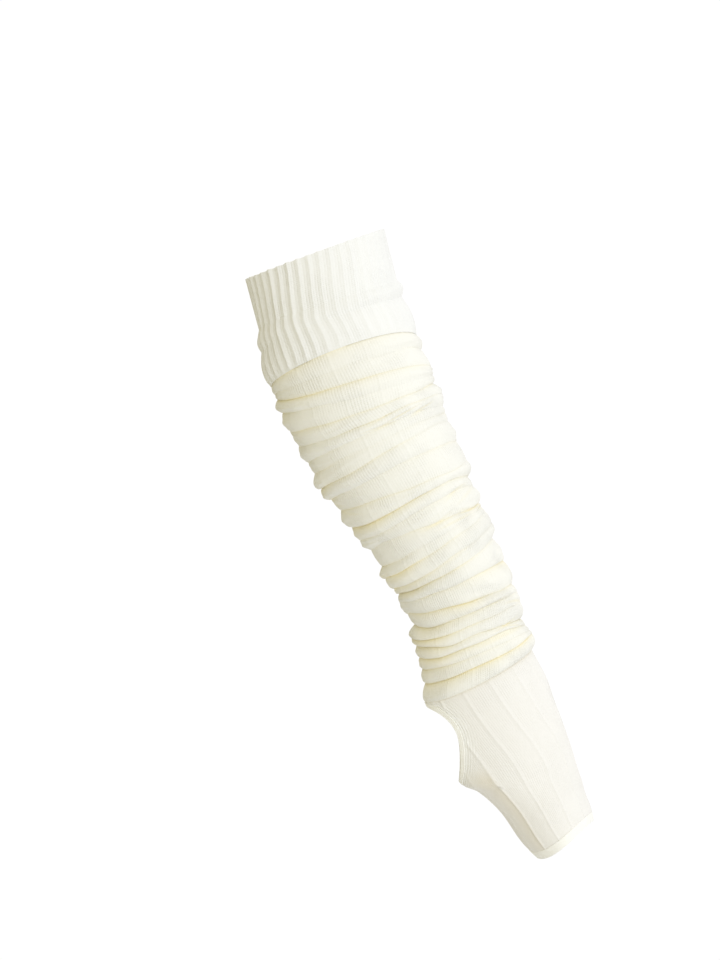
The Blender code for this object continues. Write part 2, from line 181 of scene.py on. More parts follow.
def straight_rows(table, place):
    """Columns of a table at places along it, on straight lines from row to row."""
    row = np.clip(np.floor(place).astype(int), 0, len(table) - 2)
    return table[row] + (table[row + 1] - table[row]) * (place - row)[..., None]


def smooth_rows(table, place):
    """Columns of a table at places along it, on a smooth curve through its rows: each piece is
    the cubic whose slope at a row is half the way between the neighbours."""
    last = len(table) - 1
    row = np.clip(np.floor(place).astype(int), 0, last - 1)
    share = (place - row)[..., None]
    before, start = table[np.maximum(row - 1, 0)], table[row]
    end, after = table[row + 1], table[np.minimum(row + 2, last)]
    slope_in, slope_out, change = (end - before) / 2.0, (after - start) / 2.0, end - start
    bend = 3.0 * change - 2.0 * slope_in - slope_out
    return start + slope_in * share + bend * share**2 + (slope_in + slope_out - 2.0 * change) * share**3


# %% [markdown]
# Cloth that has slid down doesn't fall into even rings. Three uneven things make it look soft: each
# roll swells more in one place and less in another, a crease wanders up and down a little, and broad
# rolls carry faint ripples of their own. All three come from one kind of noise: a few waves round
# the ring with chance sizes and phases. Waves close up where the ring does, and a fixed seed gives
# the same folds on every run.

# %% Uneven numbers round a ring
def soft_step(value, start, end):
    """From 0 at start to 1 at end, as 3 s^2 - 2 s^3."""
    share = np.clip((value - start) / (end - start), 0.0, 1.0)
    return share**2 * (3.0 - 2.0 * share)


def waves_round(angle, rows, first_wave, last_wave, seed):
    """Smooth uneven numbers, mostly from -1 to 1, one row of them for each ring: the sum of
    size * sin(wave * angle + phase) over a few whole numbers of waves, divided by twice its spread."""
    chance = np.random.default_rng(seed)
    wave = np.arange(first_wave, last_wave + 1)[:, None]
    size = chance.normal(size=(rows, len(wave), 1)) / np.sqrt(wave)
    phase = chance.uniform(0.0, 2.0 * np.pi, size=(rows, len(wave), 1))
    total = (size * np.sin(wave * angle + phase)).sum(axis=1)
    return total / (2.0 * total.std())


# %% [markdown]
# Seen from the side, a deep fold of this thin knit is not a plain wave. The roll climbs gently from
# its crease, then turns in under itself, so its lower edge is a lip that hides the next crease and
# throws a fine soft shadow. Where a crease is shallow the cloth only swells a little. A roll is a
# blend of the two by the depth of the crease below it. The deeper a crease is, the more painted
# shade the cloth on both sides of it gets, a warmer and darker colour where light is lost in the
# fold, and this painted shade fades out over a millimetre or more.

# %% The section of one roll
# Shares of a roll's height
UNEVENNESS = 0.25
LIP_DROOP = 0.38
LINING_SWELL = 0.6
# Where the crest of a roll lies between its creases, at the back and front, and how much lower at
# the sides
CREST = 0.58
CREST_AT_SIDES = 0.12
# Creases wander more on the far side, by this share
FAR_WANDER = 0.4
# Millimetres, also for the length from which a roll is broad enough for full ripples
RIPPLE = 0.45
BROAD_ROLL = 12.0
NOTCH = 0.4
NOTCH_REACH = 1.2
# The painted shade of a crease and the millimetres over which it fades, on the cloth below and above it
DEPTH_POWER = 1.3
PAINTED_SHADE_BELOW = 0.75
REACH_BELOW = 0.8
REACH_BELOW_ROLL = 1.3
PAINTED_SHADE_ABOVE = 0.7
REACH_ABOVE = 0.7


def roll_section(share, crest, sharp):
    """How far a roll stands out between its crease at 0 and the next one at 1, from 0 to 1: a
    quarter sine to the power 0.9 up to the crest and a quarter ellipse down where sharp is 1,
    half a sine wave where it is 0."""
    climb = np.sin(np.pi / 2.0 * np.clip(share / crest, 0.0, 1.0)) ** 0.9
    turn = np.sqrt(np.clip(1.0 - ((share - crest) / (1.0 - crest)) ** 2, 0.0, 1.0))
    return np.where(share < crest, climb, turn) * sharp + np.sin(np.pi * share) * (1.0 - sharp)


def round_the_ring(values, angle):
    """Values by row and angle, from the five of each row: eight an eighth of a turn apart, with
    soft steps between them. The far side takes the near side's values of the row below."""
    back, back_side, side, front_side, front = values.T
    lower = np.concatenate([values[1:], values[-1:]])
    far_side = [lower[:, 3], lower[:, 2], lower[:, 1]]
    eight = np.stack([front, *far_side, back, back_side, side, front_side], axis=1)
    eighth = angle / (np.pi / 4.0)
    first = np.floor(eighth).astype(int)
    share = soft_step(eighth - first, 0.0, 1.0)
    return eight[:, first % 8] * (1.0 - share) + eight[:, (first + 1) % 8] * share


# %% [markdown]
# Between the long creases lie short ones, which start and end within the cloth. There are forty of
# them, on all sides, at chance places: each is a small lip with a dent under it and a strip of
# painted shade in the dent, and fades out towards both its ends.

# %% Short creases
SHORT_CREASES = 40
SHORT_SIZE = 0.8
SHORT_OFFSET = 0.6
SHORT_REACH = 1.8
SHORT_PAINTED_SHADE = 0.5
SHORT_PAINTED_SHADE_MIDDLE = 0.5
SHORT_PAINTED_SHADE_REACH = 0.9


def short_creases(place, angle, pitch, rows, seed):
    """Millimetres to move the cloth out or in, and painted shade from 0 to 1, for short creases. With d
    the distance below one, it moves by -(d + 0.6) * e^(-(d / 1.8)^2) times its size, which fades
    as (1 - s^2)^2 over the share s of the way to its end. Its painted shade is darkest half a
    millimetre below.
    A crease is a quarter to 0.6 of a radian long to each side, and climbs or falls on its way."""
    chance = np.random.default_rng(seed)
    moved = np.zeros_like(pitch)
    depth = np.zeros_like(pitch)
    for _ in range(SHORT_CREASES):
        row, middle = chance.uniform(1.0, rows - 2.0), chance.uniform(-np.pi, np.pi)
        half, size, climb = chance.uniform(0.25, 0.6), chance.uniform(0.35, 1.0), chance.normal(0.0, 0.3)
        turned = (angle - middle + np.pi) % (2.0 * np.pi) - np.pi
        fade = np.clip(1.0 - (turned / half) ** 2, 0.0, 1.0) ** 2 * size
        below = (place[:, None] - row - climb * turned / half) * pitch
        moved -= fade * (below + SHORT_OFFSET) * np.exp(-(below / SHORT_REACH) ** 2) * SHORT_SIZE
        # Painted shade along the short crease, darkest half a millimetre below it
        from_tint = (below - SHORT_PAINTED_SHADE_MIDDLE) / SHORT_PAINTED_SHADE_REACH
        depth += SHORT_PAINTED_SHADE * fade * np.exp(-from_tint ** 2)
    return moved, depth


# %% [markdown]
# The gathered surface puts these together. Between one crease and the next lie a number of rings that
# follows the height of the roll, and they crowd together towards the lip, where the cloth turns most.
# The lining of the tube is the same surface with softer rolls, a cloth's thickness further in.

# %% Rings of a gathered tube
def ring_places(table, rings_in_all):
    """Places of the rings along a table: each roll gets a share of them by its length to the power
    0.7, and inside it they lie at 1 - (1 - s)^1.6."""
    ends = np.hypot(*np.moveaxis(np.diff(table[:, :4], axis=0).reshape(-1, 2, 2), -1, 0))
    weight = ends.mean(axis=1) ** 0.7
    counts = np.maximum(6, np.round(rings_in_all * weight / weight.sum())).astype(int)
    steps = [row + 1.0 - (1.0 - np.arange(count) / count) ** 1.6 for row, count in enumerate(counts)]
    return np.concatenate(steps + [np.array([len(table) - 1.0])])


def gathered_rings(table, depths, place, angle, seed, lining=False, rib=0.0, turn=0.0, shift=0.0):
    """Points (rings, columns, 3) in millimetres of a tube with one roll under each crease, and how
    much painted crease shade each gets, from 0 to 1."""
    rows = len(table)
    row = np.minimum(place.astype(int), rows - 2)
    share = (place - row)[:, None]
    near = np.sin(angle) < 0.0
    ring = straight_rows(table, place)
    far = straight_rows(np.concatenate([table[:1], table[2:], table[-1:]]), place)
    sag = np.where(near, ring[:, None, 4], far[:, None, 4])
    skew = np.where(near, ring[:, None, 5], far[:, None, 5])
    reach = np.interp(-(ring[:, 1] + ring[:, 3]) / 2.0, -SIDE_HEIGHTS, SIDE_REACHES)[:, None]
    uneven = 1.0 + UNEVENNESS * waves_round(angle, rows, 2, 7, seed)[row]
    heights, all_depths = round_the_ring(table[:, 6:11], angle), round_the_ring(depths, angle)
    height, above = heights[row] * uneven, heights[np.maximum(row - 1, 0)]
    depth, depth_below = all_depths[row], all_depths[row + 1]
    wander = waves_round(angle, rows, 2, 9, seed + 1) * (1.0 + FAR_WANDER * np.sin(angle))
    wander[[0, -1]] = 0.0
    along = wander[row] * (1.0 - share) + wander[row + 1] * share + shift
    ends = np.hypot(*np.moveaxis((table[row + 1] - table[row])[:, :4].reshape(-1, 2, 2), -1, 0))
    pitch = ends.mean(axis=1)[:, None] + (ends[:, 1:] - ends[:, :1]) / 2.0 * np.cos(angle)
    swell = roll_section(share, CREST + CREST_AT_SIDES * np.sin(angle) ** 2, depth_below)
    # Painted shade: the crease colour is mixed in most at each crease and fades away from it
    reach_below = REACH_BELOW + REACH_BELOW_ROLL * depth * above
    crease = PAINTED_SHADE_BELOW * depth**DEPTH_POWER * np.exp(-share * pitch / reach_below)
    crease += PAINTED_SHADE_ABOVE * depth_below**DEPTH_POWER * np.exp(-(1.0 - share) * pitch / REACH_ABOVE)
    if lining:
        out = LINING_SWELL * height * np.sin(np.pi * share) - CLOTH_THICKNESS
    else:
        phase = waves_round(angle, rows, 1, 4, seed + 2)[row]
        ripple = np.abs(waves_round(angle, rows, 1, 5, seed + 3)[row])
        ripple = ripple * np.clip(pitch / BROAD_ROLL, 0.3, 1.3)
        ripple = RIPPLE * ripple * np.sin(2.0 * np.pi * (2.0 * share + phase))
        ripple = ripple * 4.0 * share * (1.0 - share)
        out = height * swell + rib - NOTCH * depth * np.exp(-share * pitch / NOTCH_REACH)
        along = along + LIP_DROOP * height * swell * depth_below
        if depths.any():
            moved, short_painted_shade = short_creases(place, angle, pitch, rows, seed + 4)
            out, crease = out + ripple + moved, crease + short_painted_shade
    seam = (place == 0.0) * 1.0 - (place == rows - 1.0)
    points = ring_points(
        angle + turn, ring[:, None, :2], ring[:, None, 2:4], reach, sag, skew, out,
        along + seam[:, None] * SEAM_GAP / 2.0,
    )
    return points, np.clip(crease, 0.0, 1.0)


# %% [markdown]
# A numpy grid becomes a mesh in one go: the points as a list, four corner numbers a face and a UV
# pair a face corner. The UVs count stitches. Along U one unit is one wale, a column of stitches,
# and along V it is one course, a row of them, so the knit turns and slides with the cloth wherever a
# fold takes it. A point attribute carries how much painted crease shade each point gets. Round a tube
# U starts again after all its wales, and V never does, so V's period is endless.

# %% From arrays to a mesh
WALES = 156
WALES_A_RIB = 12
FIRST_RIB = -100.4
COURSE = 1.5
ENDLESS = 1.0e9
SHARP_RIM = 72.0
# The lining, inside the tube, gets this even share of painted crease shade
LINING_PAINTED_SHADE = 0.3


def wales_at(angle):
    """Wales counted round the tube from the rib on its near side, for an angle in radians."""
    return (np.degrees(angle) - FIRST_RIB) / 360.0 * WALES


def grid_faces(rows, columns, closed_down=False):
    """Corner numbers of the quads of a grid whose columns close round, and its rows too if asked.
    They face outwards when the rows go down a tube and the columns go from +X to +Y."""
    bands = rows if closed_down else rows - 1
    row, column = np.meshgrid(np.arange(bands), np.arange(columns), indexing="ij")
    below, following = (row + 1) % rows * columns, (column + 1) % columns
    corners = [row * columns + column, below + column, below + following, row * columns + following]
    return np.stack(corners, axis=-1).reshape(-1, 4)


def cloth_mesh(name, points, quads, uv, period, **attributes):
    """A mesh object from points in millimetres, quads, a UV pair and numbers for each point. Where
    a quad crosses the place at which U or V starts again, it counts on past its period. It is
    smooth all over but for the cut rims, which turn by more than 72 degrees."""
    mesh = bpy.data.meshes.new(name)
    mesh.from_pydata((points * MM).tolist(), [], quads.tolist())
    corner_uv = uv[quads]
    behind = corner_uv.max(axis=1, keepdims=True) - corner_uv > np.array(period) / 2.0
    corner_uv += behind * np.array(period)
    mesh.uv_layers.new(name="stitches").data.foreach_set("uv", corner_uv.ravel())
    for key, values in attributes.items():
        mesh.attributes.new(key, "FLOAT", "POINT").data.foreach_set("value", values.ravel())
    mesh.shade_smooth()
    mesh.set_sharp_from_angle(angle=np.radians(SHARP_RIM))
    obj = bpy.data.objects.new(name, mesh)
    bpy.context.scene.collection.objects.link(obj)
    print(name, "triangles:", 2 * len(quads))
    return obj


def courses_down(rings):
    """Courses counted down a stack of rings: the mean length along the cloth over the course height."""
    steps = np.linalg.norm(np.diff(rings, axis=0), axis=-1).mean(axis=1)
    return np.concatenate([[0.0], np.cumsum(steps)]) / COURSE


def cloth_tube(name, outer, lining, wale, wales_in_all, crease):
    """A tube of cloth from rings of its outside and of its lining, closed over both rims. The two
    have the same columns, so the rims are plain strips of quads."""
    rings, inner_rings, columns = len(outer), len(lining), len(wale)
    first_inner = rings * columns
    outside = grid_faces(rings, columns)
    inside = grid_faces(inner_rings, columns)[:, ::-1] + first_inner
    column = np.arange(columns)
    following = (column + 1) % columns
    top = np.stack([following, first_inner + following, first_inner + column, column], axis=-1)
    last, last_inner = (rings - 1) * columns, first_inner + (inner_rings - 1) * columns
    bottom = np.stack([
        last + column, last_inner + column, last_inner + following, last + following
    ], axis=-1)
    down, down_inner = courses_down(outer), courses_down(lining)
    down_inner *= down[-1] / down_inner[-1]
    uv = np.concatenate([
        np.stack(np.broadcast_arrays(wale, down[:, None]), axis=-1).reshape(-1, 2),
        np.stack(np.broadcast_arrays(wale, down_inner[:, None]), axis=-1).reshape(-1, 2),
    ])
    points = np.concatenate([outer.reshape(-1, 3), lining.reshape(-1, 3)])
    # Painted shade: the outside's follows its creases, and the lining gets an even share
    depth = np.concatenate([crease.ravel(), np.full(inner_rings * columns, LINING_PAINTED_SHADE)])
    quads = np.concatenate([outside, inside, top, bottom])
    return cloth_mesh(name, points, quads, uv, (wales_in_all, ENDLESS), crease=depth)


# %% [markdown]
# The leg is the longest piece: one plain knitted tube, pushed down into twenty-six rolls. On the real
# thing the rolls come by themselves. Here each crease has its row in the table, because the place of
# every fold is known, which a cloth simulation wouldn't keep.

# %% The gathered leg
LEG_COLUMNS = 204
LEG_RINGS = 400
LEG_SEED = 11

leg_angle = np.arange(LEG_COLUMNS) * 2.0 * np.pi / LEG_COLUMNS
leg_places = ring_places(LEG, LEG_RINGS)
lining_places = np.arange(2 * len(LEG) - 1) / 2.0
leg_outer, leg_crease = gathered_rings(LEG, CREASE_DEPTHS, leg_places, leg_angle, LEG_SEED)
leg_lining, _ = gathered_rings(LEG, CREASE_DEPTHS, lining_places, leg_angle, LEG_SEED, lining=True)
gathered_leg = cloth_tube("gathered_leg", leg_outer, leg_lining, wales_at(leg_angle), WALES, leg_crease)
leg_around = np.linalg.norm(leg_outer - np.roll(leg_outer, 1, axis=1), axis=-1).sum(axis=1)
print("leg: around, mm", leg_around.max().round(), "to", leg_around.min().round(),
      "cloth down it, mm", round(courses_down(leg_outer)[-1] * COURSE))

# %% [markdown]
# The cuff is a rib knit: columns that stand out and columns that sink in, which is why it grips. Its
# ribs are surface here, not only a pattern, since they scallop the edge and the outline. They don't
# run straight. The cuff is twisted a little on its way up, so they lean to the back below the edge,
# and each sways by a degree or so of its own. They fade at the lower edge, which stands off a little
# as a lip over the leg.

# %% The ribbed cuff
CUFF_RIBS = 41
POINTS_A_CUFF_RIB = 10
WALES_A_CUFF_RIB = 4
CUFF_RINGS = 84
CUFF_LINING_RINGS = 25
CUFF_SEED = 23
RIB_SEED = 6
SWAY_SEED = 5
CUFF_RIB_HEIGHT = 1.1
RIB_CHANCE = 0.2
RIB_AT_FRONT = 0.35
RIB_TOWARDS_BACK = 0.75
RIB_LOST_AT_EDGE = 0.7
CUFF_TWIST = 5.0
CUFF_UNTWIST = 3.5
CUFF_SWAY = 0.6
SWAYS = 6
SWAYS_A_ROW = 1.6
CUFF_LIP = 0.3
SCALLOP = 0.7


def cuff_rings(place, angle, phase, **lining):
    """The cuff's rings, with ribs as a raised cosine to the power 2: narrow tops and broad
    valleys. They stand up at the back and lie flat at the front, where the cuff is stretched.
    Their swing round the tube is a twist above the first fold, some of it undone below, and a
    slow sway, which is blended from six rows of waves on its way down."""
    chance = np.random.default_rng(RIB_SEED).normal(size=CUFF_RIBS)
    strength = 1.0 + RIB_CHANCE * chance[np.round(phase).astype(int) % CUFF_RIBS]
    strength *= RIB_AT_FRONT + RIB_TOWARDS_BACK * soft_step(-np.cos(angle), -0.3, 0.8)
    rib = strength * (0.5 + 0.5 * np.cos(2.0 * np.pi * phase)) ** 2
    down = place[:, None]
    sways = waves_round(angle, SWAYS, 3, 11, SWAY_SEED)
    low = np.minimum((place * SWAYS_A_ROW).astype(int), SWAYS - 2)
    blend = soft_step(down * SWAYS_A_ROW - low[:, None], 0.0, 1.0)
    sway = sways[low] * (1.0 - blend) + sways[low + 1] * blend
    turn = np.radians(
        CUFF_SWAY * sway - CUFF_TWIST * soft_step(down, 0.0, 1.2)
        + CUFF_UNTWIST * soft_step(down, 1.4, 2.8)
    )
    out = CUFF_RIB_HEIGHT * rib * (1.0 - RIB_LOST_AT_EDGE * soft_step(down, 2.8, 3.0))
    out += CUFF_LIP * soft_step(down, 2.5, 2.9)
    shift = SCALLOP * (0.5 - rib) * (1.0 - soft_step(down, 0.0, 0.15))
    no_creases = np.zeros((len(CUFF), 5))
    return gathered_rings(
        CUFF, no_creases, place, angle, CUFF_SEED, rib=out, turn=turn, shift=shift, **lining
    )


cuff_columns = CUFF_RIBS * POINTS_A_CUFF_RIB
cuff_angle = np.arange(cuff_columns) * 2.0 * np.pi / cuff_columns
cuff_phase = np.arange(cuff_columns) / POINTS_A_CUFF_RIB
cuff_outer, cuff_crease = cuff_rings(ring_places(CUFF, CUFF_RINGS), cuff_angle, cuff_phase)
cuff_lining_places = np.linspace(0.0, len(CUFF) - 1.0, CUFF_LINING_RINGS)
cuff_lining, _ = cuff_rings(cuff_lining_places, cuff_angle, cuff_phase, lining=True)
ribbed_cuff = cloth_tube("ribbed_cuff", cuff_outer, cuff_lining, cuff_phase * WALES_A_CUFF_RIB,
                         CUFF_RIBS * WALES_A_CUFF_RIB, cuff_crease)

# %% [markdown]
# The foot is the same knit, but smooth, because here it is stretched and not pushed up. Its rings
# follow the table on a smooth curve. The opening for the heel is an egg-shaped loop, given as
# places in the table against angles, and a second loop runs beside it at the width of the band.

# %% The foot's surface and the loop of the heel opening
HEEL_MIDDLE_ROW = 2.08
HEEL_HALF_ROWS = 1.72
HEEL_SPREAD = 43.0
HEEL_LEAN = 0.40
HEEL_FULLNESS = 0.85
BAND_WIDTH = 4.5


def foot_points(place, angle, out, along=0.0):
    """Points of the foot by place in its table and angle round it. The width grows from the front
    to the sole side as 1 - 0.12 * cos(angle) * share of the way down."""
    ring = smooth_rows(FOOT, np.asarray(place, float))
    broad = 1.0 - SOLE_BROADENING * np.cos(angle) * place / (len(FOOT) - 1)
    return ring_points(angle, ring[..., :2], ring[..., 2:4], ring[..., 4] * broad,
                       ring[..., 5], ring[..., 6], out, along)


def heel_loop(turn):
    """The opening's outline, turn 0 at its top: a circle in place and angle, leaned and made fuller."""
    leaned = turn + HEEL_LEAN * np.sin(turn)
    across = np.sign(np.sin(leaned)) * np.abs(np.sin(leaned)) ** HEEL_FULLNESS
    return HEEL_MIDDLE_ROW - HEEL_HALF_ROWS * np.cos(turn), np.pi + np.radians(HEEL_SPREAD) * across


def off_heel_loop(turn, distance):
    """The outline moved off the opening by a distance along the cloth: the way to go is square to
    the outline in the surface, and two dot products turn it into steps of place and angle."""
    step = 0.001
    place, angle = heel_loop(turn)
    by_place = foot_points(place + step, angle, 0.0) - foot_points(place - step, angle, 0.0)
    by_angle = foot_points(place, angle + step, 0.0) - foot_points(place, angle - step, 0.0)
    run = foot_points(*heel_loop(turn + step), 0.0) - foot_points(*heel_loop(turn - step), 0.0)
    way = np.cross(np.cross(by_place, by_angle), run)
    way *= distance / np.linalg.norm(way, axis=-1, keepdims=True)
    pp, aa = (by_place**2).sum(axis=-1), (by_angle**2).sum(axis=-1)
    pa = (by_place * by_angle).sum(axis=-1)
    wp, wa = (way * by_place).sum(axis=-1), (way * by_angle).sum(axis=-1)
    scale = 2.0 * step / (pp * aa - pa**2)
    return place + (wp * aa - wa * pa) * scale, angle + (wa * pp - wp * pa) * scale


# %% [markdown]
# A hole can't simply be left out of a grid, because its edge would be a staircase. So a rectangle is
# cut from the grid round the opening, and layers of quads run from the rectangle's edge to the loop,
# each layer a little rounder than the last.

# %% The foot's mesh
FINE = 9
FOOT_STEPS = 12 * FINE
FOOT_COLUMNS = 260
PATCH_STEPS = 7 * FINE
PATCH_COLUMNS = 104
PATCH_LAYERS = 16


def foot_layout():
    """Places, angles and quads of the foot before it is put round, with a hole for the heel."""
    step, column = np.meshgrid(np.arange(FOOT_STEPS + 1), np.arange(FOOT_COLUMNS), indexing="ij")
    place = step.ravel() * HEM_ROW / FOOT_STEPS
    angle = column.ravel() * 2.0 * np.pi / FOOT_COLUMNS
    first = (FOOT_COLUMNS - PATCH_COLUMNS) // 2
    last, middle = first + PATCH_COLUMNS, FOOT_COLUMNS // 2
    quads = grid_faces(FOOT_STEPS + 1, FOOT_COLUMNS)
    quad_step, quad_column = quads[:, 0] // FOOT_COLUMNS, quads[:, 0] % FOOT_COLUMNS
    in_patch = (quad_step < PATCH_STEPS) & (quad_column >= first) & (quad_column < last)
    across, down = np.arange(first, last), np.arange(PATCH_STEPS)
    edge = np.concatenate([
        across[across >= middle], last + down * FOOT_COLUMNS,
        across[::-1] + 1 + PATCH_STEPS * FOOT_COLUMNS, first + (down[::-1] + 1) * FOOT_COLUMNS,
        across[across < middle],
    ])
    spread = (angle[edge] - np.pi) / np.radians(HEEL_SPREAD)
    turn = np.arctan2(spread, (HEEL_MIDDLE_ROW - place[edge]) / HEEL_HALF_ROWS)
    rim_place, rim_angle = off_heel_loop(turn, BAND_WIDTH + SEAM_GAP)
    share = np.linspace(0.0, 1.0, PATCH_LAYERS + 1)[1:, None]
    places = np.concatenate([place, (place[edge] * (1.0 - share) + rim_place * share).ravel()])
    angles = np.concatenate([angle, (angle[edge] * (1.0 - share) + rim_angle * share).ravel()])
    added = len(place) + np.arange(share.size * len(edge)).reshape(share.size, -1)
    layers = np.concatenate([edge[None], added])
    outside, inside = layers[:-1], layers[1:]
    corners = [np.roll(outside, -1, axis=1), outside, inside, np.roll(inside, -1, axis=1)]
    quads = np.concatenate([quads[~in_patch], np.stack(corners, axis=-1).reshape(-1, 4)])
    used, quads = np.unique(quads, return_inverse=True)
    return places[used], angles[used], quads.reshape(-1, 4)


def rim_quads(quads, offset):
    """Quads that join an outer surface to the same one offset further on in the list of points,
    along every edge that has a face on one side only."""
    edges = np.concatenate([quads[:, [0, 1]], quads[:, [1, 2]], quads[:, [2, 3]], quads[:, [3, 0]]])
    keys = edges[:, 0] * offset + edges[:, 1]
    free = edges[~np.isin(edges[:, 1] * offset + edges[:, 0], keys)]
    return np.stack([free[:, 1], free[:, 0], free[:, 0] + offset, free[:, 1] + offset], axis=-1)


# %% [markdown]
# Narrow ribs run down the foot, thirteen in all round the tube. Each is a rounded column of stitches,
# a third of a millimetre proud, and those at the two edges of the sole are nearly twice as high. The
# foot bends at the heel, so on their way down to it the ribs lean towards the toes, and they fade out
# beside the opening. Between its two ribs the sole gets painted shade, as the underside is darker
# there where it turns away from the light.

# %% The smooth foot
FOOT_RIB_HEIGHT = 0.35
FOOT_RIBS = WALES // WALES_A_RIB
SOLE_RIBS = (8, 12)
SOLE_RIB_GAIN = 0.9
RIB_TOP = 0.3
RIB_FOOT = 1.3
SOLE_MIDDLE_WALE = 120.0
SOLE_HALF_WALES = 25.0
# How strong the painted shade on the sole is
SOLE_PAINTED_SHADE = 0.5
# Painted shade at the top of the foot, under the leg's last roll, and the places of the table over which
# it fades
SEAM_PAINTED_SHADE = 0.5
SEAM_PAINTED_SHADE_REACH = 0.10
FOOT_SWELL = 0.175
SWELL_SEED = 31
RING_SAMPLES = 361
LOOP_POINTS = 240
FOOT_SAMPLES = 200


def foot_swell(place, angle):
    """The slow, uneven swell of the foot's cloth: 0.175 mm times the sum of five waves round the
    tube, each times cos(number * place), so that the first one is alike all the way down. The
    waves are worked out on a whole ring first, or a band's swell wouldn't be the cloth's."""
    ring = np.linspace(0.0, 2.0 * np.pi, RING_SAMPLES)
    turned = angle % (2.0 * np.pi)
    waves = [np.interp(turned, ring, wave) for wave in waves_round(ring, 5, 2, 6, SWELL_SEED)]
    return FOOT_SWELL * sum(wave * np.cos(number * place) for number, wave in enumerate(waves))


def foot_rib(wale):
    """Rib height at a wale count: full within 0.3 wales of a rib's middle and gone by 1.3."""
    number = np.round(wale / WALES_A_RIB)
    beside_sole = np.isin(number % FOOT_RIBS, SOLE_RIBS)
    fall = soft_step(np.abs(wale - number * WALES_A_RIB), RIB_TOP, RIB_FOOT)
    return FOOT_RIB_HEIGHT * (1.0 + SOLE_RIB_GAIN * beside_sole) * (1.0 - fall)


foot_place, foot_angle, foot_quads = foot_layout()
foot_wale = wales_at(foot_angle - np.radians(smooth_rows(FOOT, foot_place)[:, 7]))
foot_shift = ((foot_place == 0.0) * 1.0 - (foot_place == HEM_ROW)) * SEAM_GAP / 2.0
loop_turn = np.linspace(0.0, 2.0 * np.pi, LOOP_POINTS)
foot_loop = foot_points(*off_heel_loop(loop_turn, BAND_WIDTH + SEAM_GAP), 0.0)
foot_flat = foot_points(foot_place, foot_angle, 0.0)
# In forty portions, which keeps the table of all the distances small
from_loop = np.concatenate([
    np.linalg.norm(portion[:, None] - foot_loop, axis=-1).min(axis=1)
    for portion in np.array_split(foot_flat, 40)
])
# The painted shade of the sole starts below the heel opening and is weaker along the sole's middle
sole_painted_shade = soft_step(SOLE_HALF_WALES - np.abs(foot_wale - SOLE_MIDDLE_WALE), 0.0, 1.5)
sole_painted_shade *= soft_step(foot_place, 3.0, 3.9) * (1.0 - 0.8 * soft_step(-np.cos(foot_angle), 0.55, 0.9))
foot_middle = foot_swell(foot_place, foot_angle)
# The ribs fade out over the last four millimetres before the band
foot_ribs = foot_rib(foot_wale) * soft_step(from_loop, 0.5, 4.0)
foot_out = foot_points(foot_place, foot_angle, foot_ribs + foot_middle, foot_shift)
foot_in = foot_points(foot_place, foot_angle, foot_middle - CLOTH_THICKNESS, foot_shift)

# Courses by the root mean square of the steps down the back and down the front
samples = np.linspace(0.0, HEM_ROW, FOOT_SAMPLES)
steps = np.linalg.norm(np.diff(smooth_rows(FOOT, samples)[:, :4], axis=0), axis=1)
cloth_down = np.concatenate([[0.0], np.cumsum(steps / np.sqrt(2.0))])
foot_courses = np.interp(foot_place, samples, cloth_down / COURSE)
foot_uv = np.stack([foot_wale, foot_courses], axis=-1)
# Painted shade on the foot: under the leg's last roll at its top, on the sole, and in the lining
smooth_foot = cloth_mesh(
    "smooth_foot", np.concatenate([foot_out, foot_in]),
    np.concatenate([
        foot_quads, foot_quads[:, ::-1] + len(foot_out), rim_quads(foot_quads, len(foot_out))
    ]),
    np.tile(foot_uv, (2, 1)), (WALES, ENDLESS),
    crease=np.concatenate([
        np.clip(SEAM_PAINTED_SHADE * np.exp(-foot_place / SEAM_PAINTED_SHADE_REACH) + SOLE_PAINTED_SHADE * sole_painted_shade, 0.0, 1.0),
        np.full(len(foot_in), LINING_PAINTED_SHADE),
    ]),
    from_heel=np.tile(from_loop, 2),
)

# %% [markdown]
# Two narrow strips finish the openings. Each is a closed section carried round a closed line, so it
# has no ends to fill. The band round the heel has three fine ridges, which are its rows of stitches,
# and the hem at the toes is a turned edge, rounded where the cloth folds back.

# %% The band round the heel opening
BAND_POINTS = 260
BAND_PROUD = 0.35
BAND_CORNER = 0.3
BAND_RIDGES = 3
RIDGE_HEIGHT = 0.2
RIDGED_TOP = 0.2
# The band gets a faint even share of painted crease shade
BAND_PAINTED_SHADE = 0.1
WALES_A_POINT = 0.25
CORNER_POINTS = 6
TOP_POINTS = 23


def strip_section(width, low, high, corner):
    """Points round a flat strip's section with round corners, clockwise from its first edge: the
    sides of a rectangle, and at each corner a quarter circle."""
    quarter = np.linspace(0.0, np.pi / 2.0, CORNER_POINTS)
    middles = [
        (width - corner, high - corner), (width - corner, low + corner),
        (corner, low + corner), (corner, high - corner),
    ]
    arcs = [
        (middle[0] + corner * np.sin(quarter + number * np.pi / 2.0),
         middle[1] + corner * np.cos(quarter + number * np.pi / 2.0))
        for number, middle in enumerate(middles)
    ]
    top = np.linspace(corner, width - corner, TOP_POINTS)[1:-1]
    return np.concatenate([[top, np.full(len(top), high)], *map(np.array, arcs)], axis=1)


